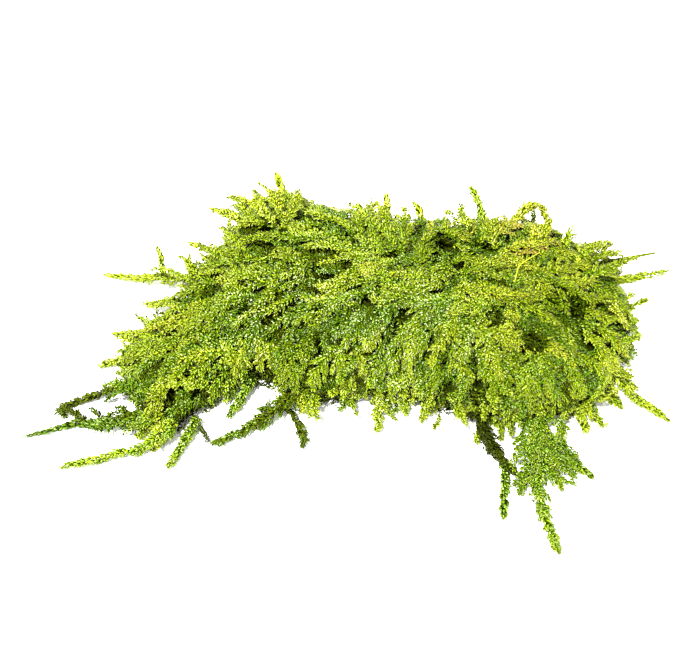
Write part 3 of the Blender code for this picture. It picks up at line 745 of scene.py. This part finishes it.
litter = {"density": 0.34, "lowDensity": 0.40, "lowBelow": 8 * mm, "wallBelow": 9 * mm, "wallHeight": (0.15, 0.9),
          "length": (1.8, 3.6), "tint": 0.17, "tintSpread": 0.06, "seed": 61,
          "leaf": {"every": 0.27 * mm, "length": 1.0 * mm}}


def oldLitter(material):
    # short straight sprigs lying on the dark body under the leaves, with more where the mat is low, and at any height
    # where it is a wall, so that no bare surface shows between fronds
    rng = np.random.default_rng(litter["seed"])
    x, y = sprout((-60, 60), litter["density"], rng)
    moreX, moreY = sprout((-60, 60), litter["lowDensity"], rng)
    low = sample("height", moreX, moreY) < litter["lowBelow"]
    x, y = np.concatenate([x, moreX[low]]), np.concatenate([y, moreY[low]])
    count = len(x)
    angle = rng.uniform(0, 2 * np.pi, count)
    normal = matNormal(x, y)
    along = np.stack([np.cos(angle), np.sin(angle), np.zeros(count)], -1)
    along = unit(along - normal * (along * normal).sum(-1, keepdims=True) + normal * rng.uniform(0.0, 0.5, (count, 1)))
    height = sample("height", x, y)
    z = np.maximum(height - shadeBodyShape["sink"] - 0.2 * mm, shadeBodyShape["least"]) - shadeBodyShape["deeper"] * gapShare(x, y)
    z = np.where(height < litter["wallBelow"], rng.uniform(*litter["wallHeight"], count) * height, z)
    start = np.stack([x, y, np.maximum(z, shadeBodyShape["least"])], -1)[:, None]
    u = np.linspace(0, 1, 5)[None, :, None]
    paths = start + along[:, None] * u * rng.uniform(*litter["length"], (count, 1, 1)) * mm
    faces = normal[:, None] + rng.normal(0, 0.3, (count, 1, 3)) + 0 * paths
    tint = np.clip(rng.normal(litter["tint"], litter["tintSpread"], count), 0.04, 0.4)
    parts = [leafBodies(paths, faces, dict(leafKinds["stemLeaf"], **litter["leaf"]), tint, rng, overMat)]
    meshPiece("oldLitter", parts, "moss_mat", material)


old = {"density": 0.065, "length": (6, 14), "sink": (1.6, 3.2), "lift": 0.5 * mm, "wander": 1.0, "curl": 0.9,
       "radius": 0.16 * mm, "tint": 0.22, "tintSpread": 0.07, "stemTone": 0.6, "seed": 31,
       "leaf": {"every": 0.26 * mm, "length": 1.1 * mm, "tintSpread": 0.05}}


def oldShoots(material):
    # shoots without branches that walk under the mat's top at their own depths; those that leave it are dropped
    rng = np.random.default_rng(old["seed"])
    x, y = sprout((-50, 52), old["density"], rng)
    length = rng.uniform(*old["length"], len(x)) * mm
    angle = heading(x, y) + rng.normal(0, old["wander"], len(x))
    x, y = x - np.cos(angle) * length * 0.5, y - np.sin(angle) * length * 0.5
    sink = rng.uniform(*old["sink"], len(x)) * mm
    paths, faces = marchPaths(x, y, angle, length, sink, old["lift"], rng.normal(0, old["curl"], len(x)), 9)
    kept = (sample("inside", paths[..., 0], paths[..., 1]) > 0.6).all(1)
    paths, faces, x = paths[kept], faces[kept], x[kept]
    tint = np.clip(old["tint"] + rng.normal(0, old["tintSpread"], len(x)), 0.03, 0.5)
    parts = [leafBodies(paths, faces, dict(leafKinds["stemLeaf"], **old["leaf"]), tint, rng, insideOnly),
             stemTubes(paths, faces, old["radius"], 4, tint * old["stemTone"])]
    meshPiece("oldShoots", parts, "moss_mat", material)


# The loose shoots

looseShoots = {  # by node: palette place, how densely it bears leaves, and how far in mm it runs into the mat
    "default": {"tint": 0.6, "stemTint": 0.5, "leafy": 1.0, "root": 5.0, "slot": "leafy_moss"},
    "left_bent_shoot": {"tint": 0.23, "leafy": 0.9, "slot": "old_moss"},
    "front_left_stem": {"tint": 0.23, "leafy": 0.9, "slot": "old_moss"},
    "front_left_stem_tip": {"tint": 0.20, "slot": "old_moss", "root": 1.5},
    "front_twig": {"tint": 0.24, "leafy": 0.8, "slot": "old_moss"},
    "front_right_stem": {"tint": 0.12, "leafy": 1.3, "slot": "old_moss"},
    "right_back_stem": {"tint": 0.2, "stemTint": 1.0, "leafy": 0.0, "slot": "bare_stem"},
    "left_long_shoot": {"tint": 0.34}, "left_front_shoot": {"tint": 0.45}, "left_upper_twig": {"root": 4.0},
    "front_left_shoot": {"tint": 0.43}, "front_left_spike": {"tint": 0.46}, "front_right_long_shoot": {"tint": 0.46},
    "front_right_side_shoot": {"tint": 0.46, "root": 3.0}, "front_right_twig": {"tint": 0.46, "root": 4.5},
    "back_right_arch": {"tint": 0.74}, "back_right_spire": {"tint": 0.5},
}
rope = {"step": 0.6 * mm, "radius": 0.2 * mm, "bareShare": 0.6, "mostGirth": 0.95 * mm, "branchedFrom": 1.1 * mm,
        "tintSpread": 0.02}
twigs = {"every": 0.28 * mm, "thickFrom": 1.0 * mm, "under": 0.5 * mm, "size": (0.9, 1.6), "forward": (0.5, 1.1),
         "bend": 0.25, "radius": 0.08 * mm, "tintGain": 0.06, "tintSpread": 0.03}


def pieceName(node):
    # the node's words run together, each but the first with a capital
    first, *rest = node.split("_")
    return first + "".join(word.title() for word in rest)


def looseShoot(name, materials):
    # a stem along the node's own middle line, drawn out straight into the mat, with leaves as long as it is thick
    spec = dict(looseShoots["default"], **looseShoots.get(name, {}))
    rng = np.random.default_rng(sum(map(ord, name)))
    line, thick = middleLine(name)
    inward = unit(line[0] - line[1])
    line = np.concatenate([[line[0] + inward * spec["root"] * mm], line])
    thick = np.concatenate([[thick[0]], thick])
    line, thick = evenLine(line, thick, rope["step"])
    paths = line[None]
    faces = unit(np.broadcast_to(up, line.shape) + 0.15 * rng.normal(0, 1, 3))[None]
    tint = np.array([spec["tint"] + rng.normal(0, rope["tintSpread"])])
    radius = rope["radius"] if spec["leafy"] else thick.mean() * rope["bareShare"]
    parts = [stemTubes(paths, faces, radius, 6, tint * spec["stemTint"] + 0.05)]
    if spec["leafy"]:
        leaf = dict(leafKinds["ropeLeaf"])
        leaf["every"] = leaf["every"] / spec["leafy"]
        girth = np.minimum(thick, rope["mostGirth"])[None]
        parts.append(leafBodies(paths, faces, leaf, tint, rng, girth=girth))
        if thick.max() > rope["branchedFrom"]:
            side, sideFaces, t = thickBranches(paths, faces, thick, rng)
            sideTint = tint[0] + twigs["tintGain"] * t + rng.normal(0, twigs["tintSpread"], len(side))
            parts.append(leafBodies(side, sideFaces, leafKinds["branchLeaf"], sideTint, rng))
            parts.append(stemTubes(side[:, ::2], sideFaces[:, ::2], twigs["radius"], 3, sideTint * stem["sideTone"]))
    material = materials["old" if spec["slot"] == "old_moss" else "fresh"]
    meshPiece(pieceName(name), parts, name, material)


def thickBranches(paths, faces, thick, rng):
    # where the solid is wider than one row of leaves, side twigs in all directions fill it: each goes outwards and
    # forwards and bends forwards as a parabola
    forward, side, face = frameAlong(paths, faces)
    total = np.linalg.norm(np.diff(paths[0], axis=0), axis=1).sum()
    t = np.sort(rng.uniform(0.0, 0.95, max(2, int(total / twigs["every"]))))
    r = np.interp(t, np.linspace(0, 1, len(thick)), thick)
    t, r = t[r > twigs["thickFrom"]], r[r > twigs["thickFrom"]]
    i = np.clip((t * (len(thick) - 1)).astype(int), 0, len(thick) - 2)
    start = paths[0, i]
    turn = rng.uniform(0, 2 * np.pi, len(t))
    radial = np.cos(turn)[:, None] * side[0, i] + np.sin(turn)[:, None] * face[0, i] * 0.7
    size = np.maximum(r - twigs["under"], twigs["under"]) * rng.uniform(*twigs["size"], len(t))
    go = unit(forward[0, i] * rng.uniform(*twigs["forward"], (len(t), 1)) + radial)
    u = np.linspace(0, 1, 6)[None, :, None]
    line = start[:, None] + size[:, None, None] * (go[:, None] * u + forward[0, i][:, None] * twigs["bend"] * u**2)
    line[..., 2] = np.maximum(line[..., 2], 0.5 * mm)
    return line, unit(radial * 0.4 + up)[:, None] + 0 * line, t


# Materials

palette = [  # place, colour: dark old stems, olive, deep green, fresh green, yellow-green, golden, straw brown
    (0.00, (0.006, 0.008, 0.001)), (0.12, (0.030, 0.042, 0.001)), (0.25, (0.080, 0.106, 0.002)),
    (0.38, (0.098, 0.216, 0.003)), (0.50, (0.212, 0.312, 0.004)), (0.62, (0.326, 0.420, 0.008)),
    (0.74, (0.440, 0.500, 0.018)), (0.86, (0.500, 0.490, 0.030)), (1.00, (0.460, 0.350, 0.040)),
]
# painted light along each leaf: the darker base is painted shade, the pale bluish-white tip a painted highlight, and
# the whitish colour at its very end a painted glint of wet leaves
paintedLeafLight = {"base": (0.42, 0.44, 0.40, 1), "tip": (1.5, 1.45, 2.2, 1), "frost": (0.76, 0.79, 0.50, 1),
             "frostFrom": 0.58}
finishes = {  # name, roughness, shine and the share of light that comes through
    "fresh": ("freshMoss", 0.25, 0.05, 0.35), "middle": ("wetMoss", 0.20, 0.10, 0.3),
    # the deep finish is for the dark body under the leaves, whose colour is painted shade
    "old": ("oldMoss", 0.30, 0.06, 0.2), "deep": ("deepTangle", 0.8, 0.0, 0.0),
}


def mossMaterial(name, rough, shine, through):
    # the UV map's first number picks the colour from the palette; the second multiplies it by painted light that goes
    # from the leaf's dark base, a painted shade, to its pale tip, a painted highlight, and the last of the tip blends
    # into a painted glint
    material = bpy.data.materials.new(name)
    material.use_nodes = True
    nodes = material.node_tree.nodes
    nodes.clear()
    kinds = {"uv": "UVMap", "split": "SeparateXYZ", "ramp": "ValToRGB", "along": "ValToRGB", "shade": "Mix",
             "frost": "MapRange", "tone": "Mix", "shader": "BsdfPrincipled", "glow": "BsdfTranslucent",
             "both": "MixShader", "output": "OutputMaterial"}
    node = {key: nodes.new("ShaderNode" + kind) for key, kind in kinds.items()}
    node["uv"].uv_map = "OFBake"
    stops = node["ramp"].color_ramp.elements
    while len(stops) > 1:
        stops.remove(stops[-1])
    stops[0].position, stops[0].color = palette[0][0], (*palette[0][1], 1)
    for place, colour in palette[1:]:
        stops.new(place).color = (*colour, 1)
    ends = node["along"].color_ramp.elements
    ends[0].color, ends[1].color = paintedLeafLight["base"], paintedLeafLight["tip"]
    node["shade"].data_type, node["shade"].blend_type = "RGBA", "MULTIPLY"
    node["tone"].data_type = "RGBA"
    for key, socket, value in (
            ("shade", "Factor", 1.0), ("frost", "From Min", paintedLeafLight["frostFrom"]), ("frost", "From Max", 1.0),
            ("tone", "B", paintedLeafLight["frost"]), ("shader", "Roughness", rough), ("shader", "Specular IOR Level", shine),
            ("both", "Fac", through)):
        node[key].inputs[socket].default_value = value
    for source, output, target, socket in (
            ("uv", "UV", "split", 0), ("split", "X", "ramp", "Fac"), ("split", "Y", "along", "Fac"),
            ("ramp", "Color", "shade", "A"), ("along", "Color", "shade", "B"), ("split", "Y", "frost", "Value"),
            ("frost", "Result", "tone", "Factor"), ("shade", "Result", "tone", "A"),
            ("tone", "Result", "shader", "Base Color"), ("tone", "Result", "glow", "Color"),
            ("shader", 0, "both", 1), ("glow", 0, "both", 2), ("both", 0, "output", "Surface")):
        material.node_tree.links.new(node[source].outputs[output], node[target].inputs[socket])
    return material


def floorMaterial():
    # a pale dull surface
    material = bpy.data.materials.new("paleFloor")
    material.use_nodes = True
    shader = material.node_tree.nodes["Principled BSDF"]
    shader.inputs["Base Color"].default_value = (0.9, 0.9, 0.9, 1)
    shader.inputs["Roughness"].default_value = 0.9
    shader.inputs["Specular IOR Level"].default_value = 0.1
    return material


materials = {kind: mossMaterial(*finish) for kind, finish in finishes.items()}
print("materials done")

# Everything, piece by piece

for name, bed in frondBeds.items():
    frondBed(bed, np.random.default_rng(bed["seed"]), materials["middle" if name == "matMiddle" else "fresh"], name)
rimFringe(materials["fresh"])
for name, rows in placedFronds.items():
    frondSet(name, rows, materials["fresh"])
for name, (points, radius, tint) in stalks.items():
    bareStalk(name, points, radius, tint, materials["fresh"])
print("mat's fronds done")
innerTangle(materials["deep"])
oldShoots(materials["old"])
oldLitter(materials["old"])
print("tangle done")
for name in sorted(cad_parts):
    if name != "moss_mat":
        looseShoot(name, materials)
print("loose shoots done")

# Floor, light and camera

studio = {"elevation": 50.0, "lens": 70.0, "sensor": 36.0, "clip": (0.005, 20.0), "distance": 0.2586,
          "aim": (-0.0017, 0.00932, 0.0), "world": 1.75, "sun": 25.5, "sunFrom": (-0.26, -0.42, 1.0), "sunWidth": 7.0,
          "floorHalf": 3, "floorHeight": -0.0001}


def makeFloor():
    # one square, just under everything
    mesh = bpy.data.meshes.new("floor")
    half, z = studio["floorHalf"], studio["floorHeight"]
    mesh.from_pydata([(-half, -half, z), (half, -half, z), (half, half, z), (-half, half, z)], [], [(0, 1, 2, 3)])
    mesh.materials.append(floorMaterial())
    inScene("floor", mesh)


def makeStudio():
    # an even white sky, one wide sun, and a camera that looks down at the aim from the front
    scene = bpy.context.scene
    world = bpy.data.worlds.new("softSky")
    world.use_nodes = True
    sky = world.node_tree.nodes["Background"].inputs
    sky["Color"].default_value, sky["Strength"].default_value = (1, 1, 1, 1), studio["world"]
    scene.world = world
    light = bpy.data.lights.new("keyLight", "SUN")
    light.energy, light.angle = studio["sun"], math.radians(studio["sunWidth"])
    inScene("keyLight", light).rotation_euler = (-Vector(studio["sunFrom"])).to_track_quat("-Z", "Y").to_euler()
    lens = bpy.data.cameras.new("camera")
    lens.lens, lens.sensor_width = studio["lens"], studio["sensor"]
    lens.clip_start, lens.clip_end = studio["clip"]
    camera = inScene("camera", lens)
    e = math.radians(studio["elevation"])
    aim = Vector(studio["aim"])
    camera.location = aim + Vector((0, -math.cos(e), math.sin(e))) * studio["distance"]
    camera.rotation_euler = (math.radians(90) - e, 0, 0)
    scene.camera = camera
    scene.view_settings.view_transform = "Standard"


makeFloor()
makeStudio()
print("studio done")
